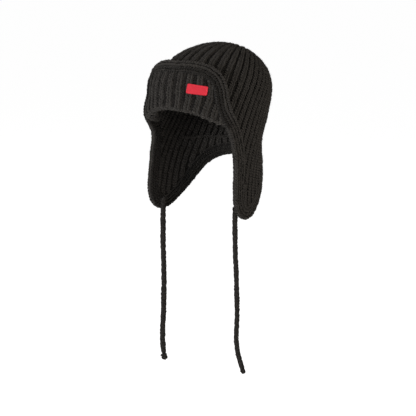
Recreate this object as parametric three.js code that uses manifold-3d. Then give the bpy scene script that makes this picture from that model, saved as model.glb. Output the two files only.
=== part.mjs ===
// Knitted aviator hat: a ribbed crown with hanging ear flaps, a turned-up front flap,
// a knitted edge band that runs round all of it, two cord ties and a small plain label.
// Millimetres, +Z up. The hat faces -Y and the wearer's left is +X.
// The origin is the inside of the crown's top, where the hat sits on a head.
import * as THREE from 'three';
import { mergeVertices } from 'three/addons/utils/BufferGeometryUtils.js';
import Module from 'manifold-3d';

const wasm = await Module();
wasm.setup();

// Main sizes, over the crests of the ribs
const crownWidth = 162;
const crownDepth = 207;
const earDrop = 271; // origin to the lowest hem of the ear flaps
const knitWall = 6.5;
const gap = 0.3; // between neighbouring pieces
const seamGap = 0.5; // between the crown's cut edge and the band

// Ribs of the crown
const ribCount = 48;
const ribDepth = 2.4;
const ribTilt = 33; // degrees that the ribs' axis leans back in the crown
const ribFade = 0.3; // share of the way from apex to rim where the ribs rise out of the top
const outerRows = { dome: 12, skirt: 11 };
const hollowRows = { dome: 9, skirt: 8 };

// Edge band
const bandWidth = 22;
const bandWall = 7;
const bandRidges = 4;
const bandRidgeDepth = 1.3;
const bandSteps = 124;

// Turned-up front flap
const flapWall = 6;
const flapEase = 2.2; // air between the crown's crests and the flap, at the front
const flapFlare = 9; // further air where the flap stands off at the temples
const flareTurns = [18, 50]; // degrees from the front where that starts and is full
const flapHalfTurn = 63; // degrees to each side, before its sides are cut to the band
const flapRibs = 17;
const flapRibDepth = 1.8;

// Label on the front flap
const labelLength = 30;
const labelHeight = 13;
const labelWall = 0.8;
const labelSeat = 0.45; // between the flap's crests and the label
const labelTurn = 20.6; // degrees round from the front, to the wearer's left
const labelDrop = 63; // origin to the label's middle
const labelTilt = 6; // degrees

// Ties
const tieDiameter = 7;
const tieSides = 8;
const tieSteps = 34;
const knotHeight = 8;
const knotSides = 10;
const knotDiameters = { left: 8.5, right: 11 };

// Routes of the two ties, from the inside of an ear flap down to the knot
const tieRoutes = {
  left: [
    [80.5, -43, -249], [80.5, -43, -262], [80.4, -43, -280], [80.7, -42.7, -302],
    [81, -42.5, -325], [81.8, -41.9, -345], [82.5, -41.3, -362], [82.9, -41, -385],
    [83.4, -40.6, -408], [83.5, -40.6, -425], [83, -41, -448], [82.8, -41.1, -466],
    [83.8, -40.3, -480], [85.6, -38.9, -492], [88.1, -36.9, -504], [90.1, -35.3, -512],
  ],
  right: [
    [-79.7, -28.8, -249], [-79.7, -28.8, -262], [-80.2, -29, -285], [-80.1, -29.2, -312],
    [-80, -29.3, -338], [-79.5, -28.9, -362], [-79.3, -28.7, -385], [-79.4, -28.8, -410],
    [-79.9, -29.2, -435], [-80.8, -29.9, -460], [-81.4, -30.4, -482], [-81.6, -30.5, -500],
    [-81, -30, -511], [-80, -29.2, -520],
  ],
};

// Level sections through the crown, over the ribs. Drop is a share of earDrop, halfWidth of
// crownWidth, and the rest of crownDepth along Y. Above the first row the crown is a dome.
const sections = [
  { drop: 0.251, halfWidth: 0.5, middle: 0.097, front: -0.483, back: 0.525 },
  { drop: 0.384, halfWidth: 0.505, middle: 0.01, front: -0.502, back: 0.502 },
  { drop: 0.546, halfWidth: 0.536, middle: -0.121, front: -0.502, back: 0.396 },
  { drop: 0.69, halfWidth: 0.554, middle: -0.208, front: -0.502, back: 0.41 },
  { drop: 0.852, halfWidth: 0.564, middle: -0.246, front: -0.502, back: 0.425 },
  { drop: 1.107, halfWidth: 0.564, middle: -0.246, front: -0.502, back: 0.425 },
];
const sectionPower = 2.2;
const domePower = 2;

// Centre line of half the edge band, from the front flap's top round to the nape. Turn is in
// degrees from the front, drop a share of earDrop. Over is 1 where the band lies over the
// crown with the front flap, and 0 where it carries on from the crown's own edge.
const bandPath = [
  { turn: 0, drop: 0.122, over: 1 },
  { turn: 13, drop: 0.122, over: 1 },
  { turn: 24.5, drop: 0.137, over: 1 },
  { turn: 32.5, drop: 0.173, over: 1 },
  { turn: 36.3, drop: 0.223, over: 1 },
  { turn: 38, drop: 0.281, over: 1 },
  { turn: 43, drop: 0.345, over: 1 },
  { turn: 51.5, drop: 0.403, over: 0.84 },
  { turn: 61, drop: 0.447, over: 0.48 },
  { turn: 72, drop: 0.498, over: 0.14 },
  { turn: 82, drop: 0.57, over: 0 },
  { turn: 91, drop: 0.683, over: 0 },
  { turn: 93.5, drop: 0.793, over: 0 },
  { turn: 95, drop: 0.882, over: 0 },
  { turn: 99.4, drop: 0.932, over: 0 },
  { turn: 106, drop: 0.955, over: 0 },
  { turn: 114, drop: 0.947, over: 0 },
  { turn: 123.5, drop: 0.907, over: 0 },
  { turn: 134.5, drop: 0.837, over: 0 },
  { turn: 142.5, drop: 0.762, over: 0 },
  { turn: 150, drop: 0.696, over: 0 },
  { turn: 159, drop: 0.656, over: 0 },
  { turn: 169, drop: 0.637, over: 0 },
  { turn: 180, drop: 0.631, over: 0 },
];

// Crown's front edge, hidden in the fold of the front flap. Drop is a share of earDrop.
const browEdge = [
  { turn: 0, drop: 0.311 },
  { turn: 20, drop: 0.329 },
  { turn: 36, drop: 0.363 },
  { turn: 50, drop: 0.387 },
  { turn: 63, drop: 0.402 },
];

const radians = THREE.MathUtils.degToRad;
const up = new THREE.Vector3(0, 0, 1);

// Smooth value of every column of a table at one value of its key column
function readTable(rows, key, value) {
  const last = rows.length - 1;
  const at = THREE.MathUtils.clamp(value, rows[0][key], rows[last][key]);
  let i = 0;
  while (i < last - 1 && at > rows[i + 1][key]) i += 1;
  const span = rows[i + 1][key] - rows[i][key];
  const t = (at - rows[i][key]) / span;
  const slope = (column, k) => {
    if (k === 0 || k === last) return 0;
    return (rows[k + 1][column] - rows[k - 1][column]) / (rows[k + 1][key] - rows[k - 1][key]);
  };
  const result = {};
  for (const column of Object.keys(rows[0])) {
    const rise = span * slope(column, i);
    const fall = span * slope(column, i + 1);
    const start = rows[i][column];
    const end = rows[i + 1][column];
    const bend = 3 * (end - start) - 2 * rise - fall;
    result[column] = start + t * (rise + t * (bend + t * (rise + fall - 2 * (end - start))));
  }
  return result;
}

const widestZ = -sections[0].drop * earDrop;
const topZ = knitWall;

// The crown's outer skin is where this is 0. It is negative inside.
function skinLevel(p) {
  const row = readTable(sections, 'drop', -p.z / earDrop);
  const across = Math.abs(p.x) / (row.halfWidth * crownWidth);
  const forward = p.y - row.middle * crownDepth;
  const reach = (forward > 0 ? row.back - row.middle : row.middle - row.front) * crownDepth;
  const sum = across ** sectionPower + (Math.abs(forward) / reach) ** sectionPower;
  const rise = Math.max(0, (p.z - widestZ) / (topZ - widestZ));
  return sum ** (domePower / sectionPower) + rise ** domePower - 1;
}

function skinNormal(p) {
  const step = 0.5;
  const slope = (axis) => {
    const ahead = p.clone();
    const behind = p.clone();
    ahead[axis] += step;
    behind[axis] -= step;
    return skinLevel(ahead) - skinLevel(behind);
  };
  return new THREE.Vector3(slope('x'), slope('y'), slope('z')).normalize();
}

// Where a ray from inside the crown meets the skin
function castToSkin(from, direction) {
  let near = 0;
  let far = crownWidth + crownDepth;
  for (let k = 0; k < 40; k += 1) {
    const middle = (near + far) / 2;
    const level = skinLevel(from.clone().addScaledVector(direction, middle));
    if (level > 0) far = middle;
    else near = middle;
  }
  return from.clone().addScaledVector(direction, near);
}

// Skin point by turn from the front, in degrees, and height
function skinAt(turn, z) {
  const middle = readTable(sections, 'drop', -z / earDrop).middle * crownDepth;
  const a = radians(turn);
  return castToSkin(new THREE.Vector3(0, middle, z), new THREE.Vector3(Math.sin(a), -Math.cos(a), 0));
}

function turnOf(p) {
  const middle = readTable(sections, 'drop', -p.z / earDrop).middle * crownDepth;
  return THREE.MathUtils.radToDeg(Math.atan2(p.x, middle - p.y));
}

// Solid between two grids of points with the same rows and columns. The first grid faces out.
// With wrap, the last row of the grids joins the first.
function slab(front, back, wrap = false) {
  const rows = front.length;
  const columns = front[0].length;
  const faces = [];
  const id = (side, i, j) => (side * rows + (i % rows)) * columns + j;
  const quad = (a, b, c, d) => faces.push(a, b, c, a, c, d);
  for (let i = 0; i < (wrap ? rows : rows - 1); i += 1) {
    for (let j = 0; j < columns - 1; j += 1) {
      quad(id(0, i, j), id(0, i, j + 1), id(0, i + 1, j + 1), id(0, i + 1, j));
      quad(id(1, i, j), id(1, i + 1, j), id(1, i + 1, j + 1), id(1, i, j + 1));
    }
    quad(id(0, i, 0), id(0, i + 1, 0), id(1, i + 1, 0), id(1, i, 0));
    const last = columns - 1;
    quad(id(0, i + 1, last), id(0, i, last), id(1, i, last), id(1, i + 1, last));
  }
  for (let j = 0; j < columns - 1 && !wrap; j += 1) {
    const end = rows - 1;
    quad(id(0, 0, j + 1), id(0, 0, j), id(1, 0, j), id(1, 0, j + 1));
    quad(id(0, end, j), id(0, end, j + 1), id(1, end, j + 1), id(1, end, j));
  }
  const points = [...front.flat(), ...back.flat()];
  return new THREE.BufferGeometry().setFromPoints(points).setIndex(faces);
}

// Solid of closed rings of points. It closes on itself, or on an end point at each end.
function ringSolid(rings, ends = null) {
  const count = rings[0].length;
  const faces = [];
  const id = (i, j) => (i % rings.length) * count + (j % count);
  for (let i = 0; i < (ends ? rings.length - 1 : rings.length); i += 1) {
    for (let j = 0; j < count; j += 1) {
      faces.push(id(i, j), id(i + 1, j), id(i + 1, j + 1));
      faces.push(id(i, j), id(i + 1, j + 1), id(i, j + 1));
    }
  }
  const points = rings.flat();
  if (ends) {
    const first = points.length;
    points.push(ends[0], ends[1]);
    for (let j = 0; j < count; j += 1) {
      faces.push(first, id(0, j), id(0, j + 1));
      faces.push(first + 1, id(rings.length - 1, j + 1), id(rings.length - 1, j));
    }
  }
  return new THREE.BufferGeometry().setFromPoints(points).setIndex(faces);
}

function toManifold(geometry) {
  const bare = geometry.clone();
  bare.deleteAttribute('normal');
  bare.deleteAttribute('uv');
  const merged = mergeVertices(bare);
  return new wasm.Manifold(new wasm.Mesh({
    numProp: 3,
    vertProperties: new Float32Array(merged.attributes.position.array),
    triVerts: new Uint32Array(merged.index.array),
  }));
}

function fromManifold(manifold) {
  const mesh = manifold.getMesh();
  const geometry = new THREE.BufferGeometry();
  geometry.setAttribute('position', new THREE.BufferAttribute(mesh.vertProperties, 3));
  geometry.setIndex(new THREE.BufferAttribute(mesh.triVerts, 1));
  return geometry;
}

// The ribs run from an apex behind the crown's top. Their axis leans back in the crown and
// bends upright below the pivot, so that the ribs of the ear flaps hang straight.
const ribPivot = new THREE.Vector3(0, -0.039 * crownDepth, -0.517 * earDrop);
const bendLength = 0.443 * earDrop;
const skirtOverrun = 8; // past the ear flaps' hem
const hollowReach = 1.1; // of the skirt's length, so that the hollow is open below

function ribAxis(below) {
  const lean = radians(ribTilt);
  const bent = Math.min(below, bendLength);
  const angle = lean * (1 - bent / bendLength);
  const rate = lean / bendLength;
  const point = ribPivot.clone();
  point.y -= (Math.cos(angle) - Math.cos(lean)) / rate;
  point.z -= (Math.sin(lean) - Math.sin(angle)) / rate + Math.max(0, below - bendLength);
  const back = new THREE.Vector3(0, Math.cos(angle), -Math.sin(angle));
  const along = new THREE.Vector3(0, Math.sin(angle), Math.cos(angle));
  return { point, back, along };
}

const skirtLength = bendLength + ribAxis(bendLength).point.z + earDrop + skirtOverrun;

// A point on a rib. Along runs from 0 at the apex to 1 at the pivot's rim and 2 at the skirt's end.
function ribPoint(turn, along) {
  const below = Math.max(0, along - 1) * skirtLength;
  const axis = ribAxis(below);
  const a = radians(turn);
  const out = new THREE.Vector3(Math.sin(a), 0, 0).addScaledVector(axis.back, -Math.cos(a));
  const rise = radians(90 * (1 - Math.min(1, along)));
  const direction = out.multiplyScalar(Math.cos(rise)).addScaledVector(axis.along, Math.sin(rise));
  return castToSkin(axis.point, direction);
}

// Closed form of the crown, set in from the skin, with a groove on every second column
function crownForm(columns, rows, inset, grooveDepth, reach) {
  const apex = ribPoint(0, 0);
  apex.addScaledVector(skinNormal(apex), -inset);
  const rings = [];
  for (let i = 1; i <= rows.dome + rows.skirt; i += 1) {
    const along = i <= rows.dome ? i / rows.dome : 1 + (reach * (i - rows.dome)) / rows.skirt;
    const fade = THREE.MathUtils.smoothstep(along, 0, ribFade);
    const ring = [];
    for (let j = 0; j < columns; j += 1) {
      const point = ribPoint((360 * j) / columns, along);
      const groove = j % 2 === 1 ? grooveDepth * fade : 0;
      ring.push(point.addScaledVector(skinNormal(point), -inset - groove));
    }
    rings.push(ring);
  }
  const base = ribAxis(reach * skirtLength).point;
  return ringSolid(rings, [apex, base]);
}

// Air between the crown and the front flap, by turn from the front
function flapAir(turn) {
  return flapEase + flapFlare * THREE.MathUtils.smoothstep(Math.abs(turn), ...flareTurns);
}

// The band's centre line on the whole hat, with the skin's normal at each step
function bandCentre() {
  const other = bandPath.slice(1, -1).reverse().map((row) => ({ ...row, turn: 360 - row.turn }));
  const chart = new THREE.CatmullRomCurve3(
    [...bandPath, ...other].map((row) => new THREE.Vector3(row.turn, row.drop * earDrop, row.over)),
    false,
  );
  chart.points.push(new THREE.Vector3(360, bandPath[0].drop * earDrop, 1));
  const samples = chart.getPoints(6 * bandSteps).slice(0, -1).map((c) => {
    const point = skinAt(c.x, -c.y);
    const over = THREE.MathUtils.clamp(c.z, 0, 1);
    const overLift = flapAir(Math.min(c.x, 360 - c.x)) + bandWall / 2;
    return point.addScaledVector(skinNormal(point), over * overLift - (1 - over) * (knitWall / 2));
  });
  const path = new THREE.CatmullRomCurve3(samples, true);
  path.arcLengthDivisions = 20 * bandSteps;
  const steps = [];
  for (let i = 0; i < bandSteps; i += 1) {
    const point = path.getPointAt(i / bandSteps);
    const along = path.getTangentAt(i / bandSteps);
    const across = skinNormal(point).cross(along).normalize();
    const out = along.clone().cross(across).normalize();
    steps.push({ point, across, out, turn: turnOf(point) });
  }
  return steps;
}

// Section of the band, from its free side over the ridges to its crown side and back below
function bandSection() {
  const half = bandWidth / 2;
  const ridge = bandWidth / bandRidges;
  const points = [];
  for (let k = 0; k < bandRidges; k += 1) {
    points.push([k * ridge - half, bandWall / 2 - bandRidgeDepth]);
    points.push([(k + 0.5) * ridge - half, bandWall / 2]);
  }
  points.push([half, bandWall / 2 - bandRidgeDepth], [half, -bandWall / 2], [-half, -bandWall / 2]);
  return points;
}

function edgeBand(steps) {
  const section = bandSection();
  return ringSolid(steps.map((step) => section.map(([a, b]) => (
    step.point.clone().addScaledVector(step.across, a).addScaledVector(step.out, b)
  ))));
}

// Everything below the crown's own edge: under the front flap's fold, then along the band from
// where the band comes down into line with the crown's wall
function belowCrownEdge(steps) {
  const inside = 16;
  const outside = 12;
  const rows = 6;
  const floor = -earDrop - 3 * skirtOverrun;
  const edge = browTurns().map((turn) => {
    const point = skinAt(turn, -readTable(browEdge, 'turn', turn).drop * earDrop);
    return { turn, point, out: skinNormal(point) };
  });
  for (const step of steps) {
    const clear = skinLevel(step.point.clone().addScaledVector(step.out, -bandWall / 2 - 3 * gap)) > 0;
    if (step.point.x <= 0 || clear) continue;
    const point = step.point.clone().addScaledVector(step.across, bandWidth / 2 + seamGap);
    const turn = turnOf(point);
    if (turn > edge[edge.length - 1].turn) edge.push({ turn, point, out: step.out });
  }
  const mirror = ({ turn, point, out }) => ({
    turn: -turn,
    point: point.clone().setX(-point.x),
    out: out.clone().setX(-out.x),
  });
  const whole = [...edge, ...edge.slice(1).reverse().map(mirror)];
  const wall = (offset) => whole.map(({ turn, point, out }) => {
    const line = [point.clone().addScaledVector(out, offset)];
    for (let k = 1; k <= rows; k += 1) {
      const below = skinAt(turn, point.z + ((floor - point.z) * k) / rows);
      line.push(below.addScaledVector(skinNormal(below), offset));
    }
    return line;
  });
  return slab(wall(outside), wall(-inside), true);
}

function crown(steps) {
  const outer = toManifold(crownForm(2 * ribCount, outerRows, 0, ribDepth, 1));
  const hollow = toManifold(crownForm(ribCount, hollowRows, knitWall, 0, hollowReach));
  return fromManifold(outer.subtract(hollow).subtract(toManifold(belowCrownEdge(steps))));
}

// Turns of the front flap's crests and grooves, on one side of the front
function browTurns() {
  return Array.from({ length: flapRibs + 1 }, (_, i) => (flapHalfTurn * i) / flapRibs);
}

// Middle line of the front flap at one turn, down its front and round the fold to the crown's
// edge: each row's height, its lift off the skin, its angle round the fold and its sink there
function flapProfile(turn) {
  const brow = -readTable(browEdge, 'turn', Math.abs(turn)).drop * earDrop - gap;
  const outLift = flapAir(turn) + flapWall / 2;
  const inLift = -knitWall / 2;
  const foldRadius = (outLift - inLift) / 2;
  const foldZ = brow - flapWall / 2;
  const top = Math.max(-readTable(bandPath, 'turn', Math.abs(turn)).drop * earDrop, foldZ + 1);
  const legRows = 5;
  const foldRows = 5;
  const profile = [];
  for (let k = 0; k < legRows; k += 1) {
    profile.push({ z: top + ((foldZ - top) * k) / legRows, lift: outLift, angle: 0 });
  }
  for (let k = 0; k <= foldRows; k += 1) {
    const angle = (Math.PI * k) / foldRows;
    profile.push({ z: foldZ, lift: inLift + foldRadius * (1 + Math.cos(angle)), angle });
  }
  profile.push({ z: brow, lift: inLift, angle: Math.PI });
  return profile.map((row) => ({ ...row, sink: foldRadius * Math.sin(row.angle) }));
}

function flapWhole() {
  const face = (side) => {
    const grid = [];
    for (let i = 0; i <= 2 * flapRibs; i += 1) {
      const turn = flapHalfTurn * (i / flapRibs - 1);
      const groove = side > 0 && i % 2 === 0 ? flapRibDepth : 0;
      grid.push(flapProfile(turn).map((row) => {
        const point = skinAt(turn, row.z);
        const normal = skinNormal(point);
        const away = normal.clone().multiplyScalar(Math.cos(row.angle));
        away.addScaledVector(up, -Math.sin(row.angle));
        point.addScaledVector(normal, row.lift).addScaledVector(up, -row.sink);
        return point.addScaledVector(away, (side * flapWall) / 2 - groove);
      }));
    }
    return grid;
  };
  return slab(face(1), face(-1));
}

// What the band and the space beyond it take from the front flap's top and sides
function besideFlap(steps) {
  const reach = 26;
  const outside = 12;
  const inside = -bandWall / 2 - gap;
  const lastTurn = flapHalfTurn + 12;
  const near = steps.filter((step) => Math.abs(step.turn) < lastTurn && step.point.y < 0);
  const start = near.findIndex((step, i) => i > 0 && step.turn < near[i - 1].turn);
  const ordered = [...near.slice(start), ...near.slice(0, start)];
  const face = (offset) => ordered.map((step) => [reach, 0, -bandWidth / 2 - gap].map((a) => (
    step.point.clone().addScaledVector(step.across, a).addScaledVector(step.out, offset)
  )));
  return slab(face(outside), face(inside));
}

function frontFlap(steps) {
  const trimmed = toManifold(flapWhole()).subtract(toManifold(besideFlap(steps)));
  const pieces = trimmed.decompose();
  pieces.sort((a, b) => b.volume() - a.volume());
  return fromManifold(pieces[0]);
}

// Thin plate that follows the front flap's outer face
function label() {
  const columns = 6;
  const centre = skinAt(labelTurn, -labelDrop);
  const degreesPerMm = 0.1;
  const next = skinAt(labelTurn + degreesPerMm, -labelDrop);
  const turnRate = degreesPerMm / next.distanceTo(centre);
  const face = (lift) => {
    const grid = [];
    for (let i = 0; i <= columns; i += 1) {
      const along = labelLength * (i / columns - 0.5);
      const sink = along * Math.tan(radians(labelTilt));
      grid.push([0.5, -0.5].map((share) => {
        const turn = labelTurn + along * turnRate;
        const point = skinAt(turn, -labelDrop - sink + share * labelHeight);
        return point.addScaledVector(skinNormal(point), flapAir(turn) + flapWall + labelSeat + lift);
      }));
    }
    return grid;
  };
  return slab(face(labelWall), face(0));
}

function tieCurve(route) {
  return new THREE.CatmullRomCurve3(route.map((p) => new THREE.Vector3(...p)));
}

function tie(route) {
  const corners = Array.from({ length: tieSides }, (_, i) => {
    const a = (2 * Math.PI * i) / tieSides;
    return new THREE.Vector2(Math.cos(a), Math.sin(a)).multiplyScalar(tieDiameter / 2);
  });
  const options = { steps: tieSteps, extrudePath: tieCurve(route) };
  return new THREE.ExtrudeGeometry(new THREE.Shape(corners), options);
}

// Barrel-shaped knot on the end of a tie, along the tie's own direction
function tieKnot(route, diameter) {
  const curve = tieCurve(route);
  const half = knotHeight / 2;
  const flat = tieDiameter / 2;
  const wide = diameter / 2;
  const belly = half / 3;
  const outline = [[0, -half], [flat, -half], [wide, -belly], [wide, belly], [flat, half], [0, half]];
  const profile = outline.map(([x, y]) => new THREE.Vector2(x, y));
  const geometry = new THREE.LatheGeometry(profile, knotSides);
  const direction = curve.getTangent(1);
  const centre = curve.getPoint(1).addScaledVector(direction, half + gap);
  const spindle = new THREE.Vector3(0, 1, 0);
  geometry.applyQuaternion(new THREE.Quaternion().setFromUnitVectors(spindle, direction));
  return geometry.translate(centre.x, centre.y, centre.z);
}

const charcoalYarn = () => new THREE.MeshStandardMaterial({ color: 0x23211e, roughness: 0.95, metalness: 0 });
const redTape = () => new THREE.MeshStandardMaterial({ color: 0xd8344a, roughness: 0.7, metalness: 0 });

const hat = new THREE.Group();
function add(name, geometry, material) {
  const mesh = new THREE.Mesh(geometry, material);
  mesh.name = name;
  hat.add(mesh);
}

const steps = bandCentre();
add('crown', crown(steps), charcoalYarn());
add('edge_band', edgeBand(steps), charcoalYarn());
add('front_flap', frontFlap(steps), charcoalYarn());
add('label', label(), redTape());
for (const [side, route] of Object.entries(tieRoutes)) {
  add(`tie_${side}`, tie(route), charcoalYarn());
  add(`tie_knot_${side}`, tieKnot(route, knotDiameters[side]), charcoalYarn());
}

export default hat;
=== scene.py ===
import math
import bmesh
import bpy
import numpy as np
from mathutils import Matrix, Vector


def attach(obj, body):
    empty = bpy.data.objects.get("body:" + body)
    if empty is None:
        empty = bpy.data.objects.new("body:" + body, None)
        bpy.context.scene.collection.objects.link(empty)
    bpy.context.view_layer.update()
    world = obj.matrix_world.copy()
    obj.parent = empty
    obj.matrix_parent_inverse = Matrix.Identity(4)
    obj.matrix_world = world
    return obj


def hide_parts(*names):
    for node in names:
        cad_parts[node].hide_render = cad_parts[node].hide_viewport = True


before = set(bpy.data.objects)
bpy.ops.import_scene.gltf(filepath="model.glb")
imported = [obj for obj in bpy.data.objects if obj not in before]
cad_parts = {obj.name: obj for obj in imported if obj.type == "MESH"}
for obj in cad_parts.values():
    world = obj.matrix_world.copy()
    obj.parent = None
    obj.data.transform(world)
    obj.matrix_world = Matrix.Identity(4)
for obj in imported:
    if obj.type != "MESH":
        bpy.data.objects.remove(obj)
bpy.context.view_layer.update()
mm = 0.001
rng = np.random.default_rng(7)
print("frame loaded")

# Camera to the hat's left front, a little above the ear flaps, at the photograph's scale
view = {
    "azimuth": 38, "elevation": 10, "distance": 2.0, "lens": 104.9,
    "aim": (0, 0, -0.2644), "slide": -0.0058, "clipEnd": 400,
}


def makeCamera():
    azimuth, elevation = math.radians(view["azimuth"]), math.radians(view["elevation"])
    right = Vector((math.cos(azimuth), math.sin(azimuth), 0))
    back = Vector((math.sin(azimuth), -math.cos(azimuth), math.tan(elevation))).normalized()
    aim = Vector(view["aim"]) + view["slide"] * right
    camera = bpy.data.objects.new("Camera", bpy.data.cameras.new("Camera"))
    camera.data.lens = view["lens"]
    camera.data.clip_end = view["clipEnd"]
    camera.location = aim + view["distance"] * back
    camera.rotation_euler = back.to_track_quat("Z", "Y").to_euler()
    bpy.context.collection.objects.link(camera)
    bpy.context.scene.camera = camera


makeCamera()

# The hat's own sizes, as in the solids, in metres and degrees
hat = {
    "width": 0.162, "depth": 0.207, "earDrop": 0.271, "wall": 0.0065,
    "ribs": 48, "ribTilt": 33,
    "bandWidth": 0.022, "bandWall": 0.007,
    "flapWall": 0.006, "flapEase": 0.0022, "flapFlare": 0.009, "flareTurns": (18, 50),
    "flapHalfTurn": 63, "flapRibs": 17, "gap": 0.0003,
}

# Level sections of the crown: drop, half width, middle, front, back
sections = [
    (0.251, 0.5, 0.097, -0.483, 0.525),
    (0.384, 0.505, 0.01, -0.502, 0.502),
    (0.546, 0.536, -0.121, -0.502, 0.396),
    (0.69, 0.554, -0.208, -0.502, 0.41),
    (0.852, 0.564, -0.246, -0.502, 0.425),
    (1.107, 0.564, -0.246, -0.502, 0.425),
]

# Centre line of half the edge band: turn from the front, drop, share that lies over the crown
bandPath = [
    (0, 0.122, 1), (13, 0.122, 1), (24.5, 0.137, 1), (32.5, 0.173, 1), (36.3, 0.223, 1), (38, 0.281, 1),
    (43, 0.345, 1), (51.5, 0.403, 0.84), (61, 0.447, 0.48), (72, 0.498, 0.14), (82, 0.57, 0),
    (91, 0.683, 0), (93.5, 0.793, 0), (95, 0.882, 0), (99.4, 0.932, 0), (106, 0.955, 0), (114, 0.947, 0),
    (123.5, 0.907, 0), (134.5, 0.837, 0), (142.5, 0.762, 0), (150, 0.696, 0), (159, 0.656, 0),
    (169, 0.637, 0), (180, 0.631, 0),
]
browEdge = [(0, 0.311), (20, 0.329), (36, 0.363), (50, 0.387), (63, 0.402)]

sectionPower = 2.2
domePower = 2


def unit(vectors):
    return vectors / np.linalg.norm(vectors, axis=-1, keepdims=True)


def smoothStep(value, low, high):
    t = np.clip((value - low) / (high - low), 0, 1)
    return t * t * (3 - 2 * t)


# Smooth rows of a table at many values of its first column
def readTable(rows, values):
    table = np.array(rows, float)
    keys = table[:, 0]
    at = np.clip(values, keys[0], keys[-1])
    slopes = np.zeros_like(table)
    slopes[1:-1] = (table[2:] - table[:-2]) / (keys[2:] - keys[:-2])[:, None]
    i = np.clip(np.searchsorted(keys, at) - 1, 0, len(keys) - 2)
    span = (keys[i + 1] - keys[i])[:, None]
    t = (at - keys[i])[:, None] / span
    rise, fall = span * slopes[i], span * slopes[i + 1]
    change = table[i + 1] - table[i]
    return table[i] + t * (rise + t * (3 * change - 2 * rise - fall + t * (rise + fall - 2 * change)))


# 0 on the crown's outer skin and negative inside
def skinLevel(p):
    row = readTable(sections, -p[:, 2] / hat["earDrop"])
    across = np.abs(p[:, 0]) / (row[:, 1] * hat["width"])
    forward = p[:, 1] - row[:, 2] * hat["depth"]
    reach = np.where(forward > 0, row[:, 4] - row[:, 2], row[:, 2] - row[:, 3]) * hat["depth"]
    total = across ** sectionPower + (np.abs(forward) / reach) ** sectionPower
    widest = -sections[0][0] * hat["earDrop"]
    rise = np.maximum(0, (p[:, 2] - widest) / (hat["wall"] - widest))
    return total ** (domePower / sectionPower) + rise ** domePower - 1


def skinNormal(p):
    step = 0.0005
    slopes = [skinLevel(p + step * axis) - skinLevel(p - step * axis) for axis in np.eye(3)]
    return unit(np.stack(slopes, 1))


def castToSkin(start, direction):
    near, far = np.zeros(len(start)), np.full(len(start), hat["width"] + hat["depth"])
    for _ in range(28):
        middle = (near + far) / 2
        outside = skinLevel(start + middle[:, None] * direction) > 0
        far = np.where(outside, middle, far)
        near = np.where(outside, near, middle)
    return start + near[:, None] * direction


# Skin points by turn from the front and height
def skinAt(turn, z):
    middle = readTable(sections, -z / hat["earDrop"])[:, 2] * hat["depth"]
    a = np.radians(turn)
    zero = np.zeros_like(z)
    return castToSkin(np.stack([zero, middle, z], 1), np.stack([np.sin(a), -np.cos(a), zero], 1))


def turnOf(p):
    middle = readTable(sections, -p[:, 2] / hat["earDrop"])[:, 2] * hat["depth"]
    return np.degrees(np.arctan2(p[:, 0], middle - p[:, 1]))


# The ribs' axis leans back in the crown and bends upright below its pivot
ribPivot = np.array([0, -0.039 * hat["depth"], -0.517 * hat["earDrop"]])
bendLength = 0.443 * hat["earDrop"]


def ribAxis(below):
    lean = math.radians(hat["ribTilt"])
    angle = lean * (1 - np.minimum(below, bendLength) / bendLength)
    rate = lean / bendLength
    zero = np.zeros_like(angle)
    drop = (math.sin(lean) - np.sin(angle)) / rate + np.maximum(0, below - bendLength)
    point = ribPivot - np.stack([zero, (np.cos(angle) - math.cos(lean)) / rate, drop], 1)
    back = np.stack([zero, np.cos(angle), -np.sin(angle)], 1)
    along = np.stack([zero, np.sin(angle), np.cos(angle)], 1)
    return point, back, along


skirtLength = bendLength + ribAxis(np.array([bendLength]))[0][0, 2] + hat["earDrop"] + 0.008


# A point on a rib: along runs from 0 at the apex to 1 at the rim and 2 at the skirt's end
def ribPoint(turn, along):
    point, back, up = ribAxis(np.maximum(0, along - 1) * skirtLength)
    a = np.radians(turn)[:, None]
    rise = (math.pi / 2 * (1 - np.minimum(1, along)))[:, None]
    side = np.array([1.0, 0, 0])
    out = np.sin(a) * side - np.cos(a) * back
    return castToSkin(point, out * np.cos(rise) + up * np.sin(rise))


# Dense points on a smooth curve through the given ones, evenly loose at every bend
def smoothLine(points, each):
    p = np.array(points, float)
    p = np.vstack([2 * p[0] - p[1], p, 2 * p[-1] - p[-2]])
    knots = np.sqrt(np.linalg.norm(np.diff(p, axis=0), axis=1))
    line = []
    for i in range(1, len(p) - 2):
        before, here, after = knots[i - 1], knots[i], knots[i + 1]
        start, end = p[i], p[i + 1]
        leave = (start - p[i - 1]) / before - (end - p[i - 1]) / (before + here) + (end - start) / here
        arrive = (end - start) / here - (p[i + 2] - start) / (here + after) + (p[i + 2] - end) / after
        t = np.arange(each)[:, None] / each
        leave, arrive = leave * here, arrive * here
        bend = 3 * (end - start) - 2 * leave - arrive
        line.append(start + t * (leave + t * (bend + t * (leave + arrive - 2 * (end - start)))))
    return np.vstack(line + [p[-2]])


# The rows of several arrays at even distances along the first one
def evenly(spacing, points, *others, start=0.5):
    steps = np.linalg.norm(np.diff(points, axis=0), axis=1)
    distance = np.concatenate([[0], np.cumsum(steps)])
    at = np.arange(start * spacing, distance[-1], spacing)
    result = []
    for rows in (points, *others):
        rows = rows.reshape(len(points), -1)
        result.append(np.stack([np.interp(at, distance, column) for column in rows.T], 1))
    return result


def flapAir(turn):
    return hat["flapEase"] + hat["flapFlare"] * smoothStep(np.abs(turn), *hat["flareTurns"])


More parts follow.
